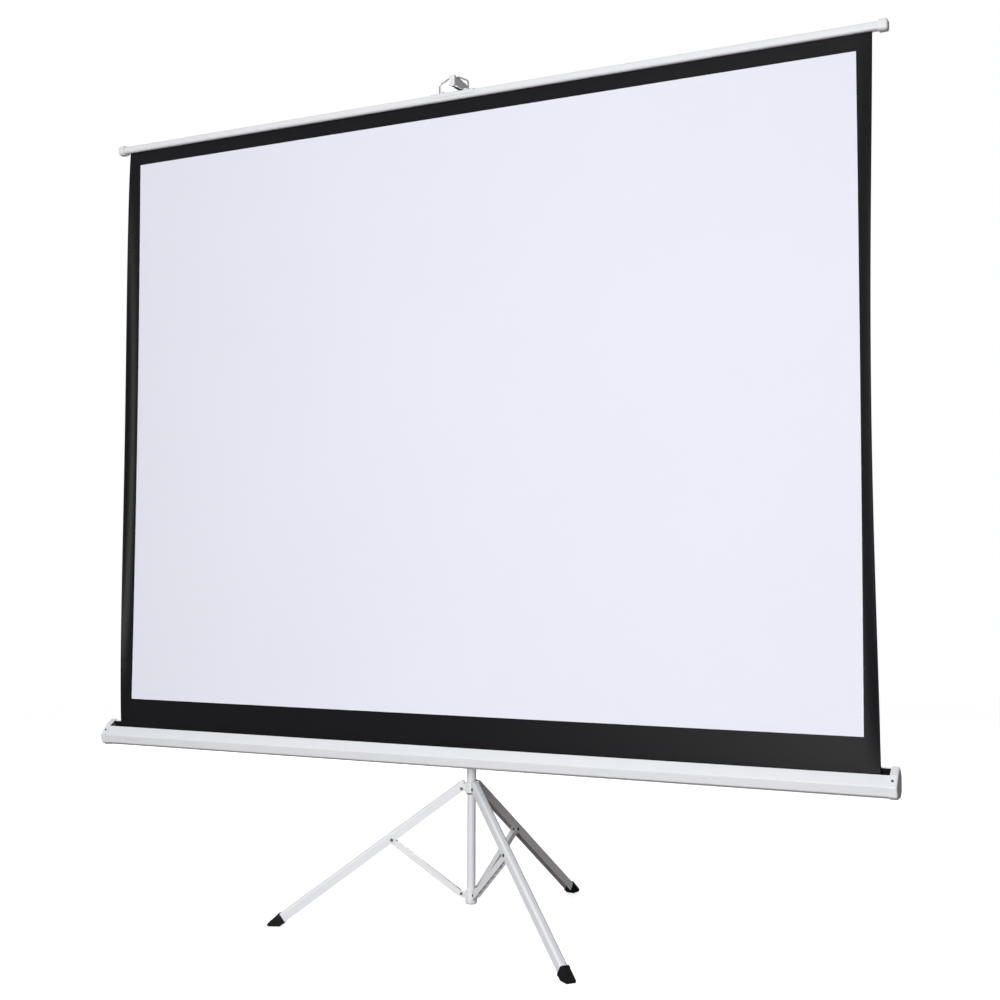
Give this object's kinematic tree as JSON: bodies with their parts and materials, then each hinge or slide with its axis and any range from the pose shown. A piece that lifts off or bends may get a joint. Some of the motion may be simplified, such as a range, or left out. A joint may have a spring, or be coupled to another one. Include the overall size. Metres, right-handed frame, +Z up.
{
  "type": "tripod projection screen",
  "caption": "Pull-up projection screen: bordered white fabric drawn from a roller case up to a pole's hook arm, on a folding tripod.",
  "frame": {"origin": "on the floor under the middle of the footprint, which the feet and the case's ends bound", "axes": "+Z up, the viewing side faces -Y, +X to the viewer's right"},
  "size_m": [2.1844, 0.8539, 2.178],
  "materials": {
    "white_paint": "satin powder coat",
    "white_plastic": "satin",
    "grey_plastic": "matte",
    "black_plastic": "matte",
    "zinc_steel": "zinc plated",
    "black_rubber": "matte",
    "screen_cloth": "matte white, black back and borders"
  },
  "bodies": {
    "post": {"post_tube": "white_paint", "leg_hub": "white_plastic", "post_bush": "grey_plastic", "hub_rivets": "zinc_steel", "hub_screw": "zinc_steel", "post_collar": "white_plastic", "collar_shoe": "black_plastic", "carry_handle": "white_plastic", "handle_rivets": "zinc_steel"},
    "spreader": {"spreader_tube": "white_paint", "spreader_hub": "white_plastic", "spreader_glide": "grey_plastic", "spreader_rivets": "zinc_steel", "spreader_screw": "zinc_steel"},
    "leg_1": {"leg_1": "white_paint", "leg_foot_1": "black_rubber", "brace_rivet_1": "zinc_steel"},
    "leg_2": {"leg_2": "white_paint", "leg_foot_2": "black_rubber", "brace_rivet_2": "zinc_steel"},
    "leg_3": {"leg_3": "white_paint", "leg_foot_3": "black_rubber", "brace_rivet_3": "zinc_steel"},
    "brace_1": {"brace_1": "white_plastic"},
    "brace_2": {"brace_2": "white_plastic"},
    "brace_3": {"brace_3": "white_plastic"},
    "case": {"case_shell": "white_paint", "end_cap_left": "white_plastic", "end_cap_right": "white_plastic", "roller_bracket_left": "grey_plastic", "roller_bracket_right": "grey_plastic", "cap_screws": "zinc_steel", "carriage": "white_plastic", "carriage_shoe": "black_plastic", "pivot_plate": "zinc_steel", "plate_screws": "zinc_steel", "pivot_bolt": "zinc_steel", "pivot_washer": "zinc_steel", "pivot_nut": "zinc_steel", "idle_pin": "zinc_steel", "spring_spindle": "zinc_steel", "screen_fabric": "screen_cloth"},
    "roller": {"roller_tube": "zinc_steel", "roller_plug_left": "grey_plastic", "roller_plug_right": "grey_plastic", "fabric_wrap": "screen_cloth", "torsion_spring": "zinc_steel"},
    "pole": {"pole_tube": "white_paint", "pole_glide": "grey_plastic", "hook_arm": "white_plastic", "hook_rivet": "zinc_steel"},
    "bar": {"top_bar": "white_paint", "bar_cap_left": "white_plastic", "bar_cap_right": "white_plastic", "bail": "zinc_steel", "bail_clip": "white_paint", "clip_rivets": "zinc_steel", "hem_rod": "zinc_steel"},
    "height_knob": {"height_knob": "black_plastic"},
    "pole_knob": {"pole_knob": "black_plastic"}
  },
  "joints": [
    {"name": "leg_1_fold", "type": "hinge", "parent": "post", "child": "leg_1", "pos_m": [0.0197, -0.11027, 0.35599], "axis": [0.6157, 0.788, 0], "range_deg": [0, 53.5]},
    {"name": "brace_1_swing", "type": "hinge", "parent": "leg_1", "child": "brace_1", "pos_m": [0.16096, -0.22063, 0.22334], "axis": [0.6157, 0.788, 0], "range_deg": [-107, 0]},
    {"name": "leg_2_fold", "type": "hinge", "parent": "post", "child": "leg_2", "pos_m": [0.00348, -0.07012, 0.35599], "axis": [-0.9903, 0.1392, 0], "range_deg": [0, 53.5]},
    {"name": "brace_2_swing", "type": "hinge", "parent": "leg_2", "child": "brace_2", "pos_m": [0.02843, 0.10739, 0.22334], "axis": [-0.9903, 0.1392, 0], "range_deg": [-107, 0]},
    {"name": "leg_3_fold", "type": "hinge", "parent": "post", "child": "leg_3", "pos_m": [-0.02318, -0.10425, 0.35599], "axis": [0.3746, -0.9272, 0], "range_deg": [0, 53.5]},
    {"name": "brace_3_swing", "type": "hinge", "parent": "leg_3", "child": "brace_3", "pos_m": [-0.18939, -0.1714, 0.22334], "axis": [0.3746, -0.9272, 0], "range_deg": [-107, 0]},
    {"name": "spreader_pivot", "type": "hinge", "parent": "brace_1", "child": "spreader", "pos_m": [0.0197, -0.11027, 0.0907], "axis": [0.6157, 0.788, 0], "range_deg": [0, 53.5]},
    {"name": "case_height", "type": "slide", "parent": "post", "child": "case", "axis": [0, 0, 1], "range_m": [0, 0.35]},
    {"name": "pole_extend", "type": "slide", "parent": "case", "child": "pole", "axis": [0, 0, 1], "range_m": [-0.5, 0], "deforming": ["screen_fabric"]},
    {"name": "bar_unhook", "type": "slide", "parent": "pole", "child": "bar", "axis": [0, 0, 1], "range_m": [0, 0.012]},
    {"name": "roller_spin", "type": "hinge", "parent": "case", "child": "roller", "pos_m": [0, -0.22323, 0.44949], "axis": [1, 0, 0], "range_deg": [-2147, 0]},
    {"name": "height_knob_turn", "type": "hinge", "parent": "case", "child": "height_knob", "pos_m": [0, -0.06488, 0.44799], "axis": [0, 1, 0], "range_deg": [0, 360]},
    {"name": "pole_knob_turn", "type": "hinge", "parent": "post", "child": "pole_knob", "pos_m": [0, -0.06488, 1.51499], "axis": [0, 1, 0], "range_deg": [0, 360]}
  ],
  "couplings": [
    {"joint": "brace_1_swing", "follows": "leg_1_fold", "ratio": -2},
    {"joint": "leg_2_fold", "follows": "leg_1_fold", "ratio": 1},
    {"joint": "brace_2_swing", "follows": "leg_1_fold", "ratio": -2},
    {"joint": "leg_3_fold", "follows": "leg_1_fold", "ratio": 1},
    {"joint": "brace_3_swing", "follows": "leg_1_fold", "ratio": -2},
    {"joint": "spreader_pivot", "follows": "leg_1_fold", "ratio": 1},
    {"joint": "roller_spin", "follows": "pole_extend", "rad_per_m": 74.906}
  ]
}
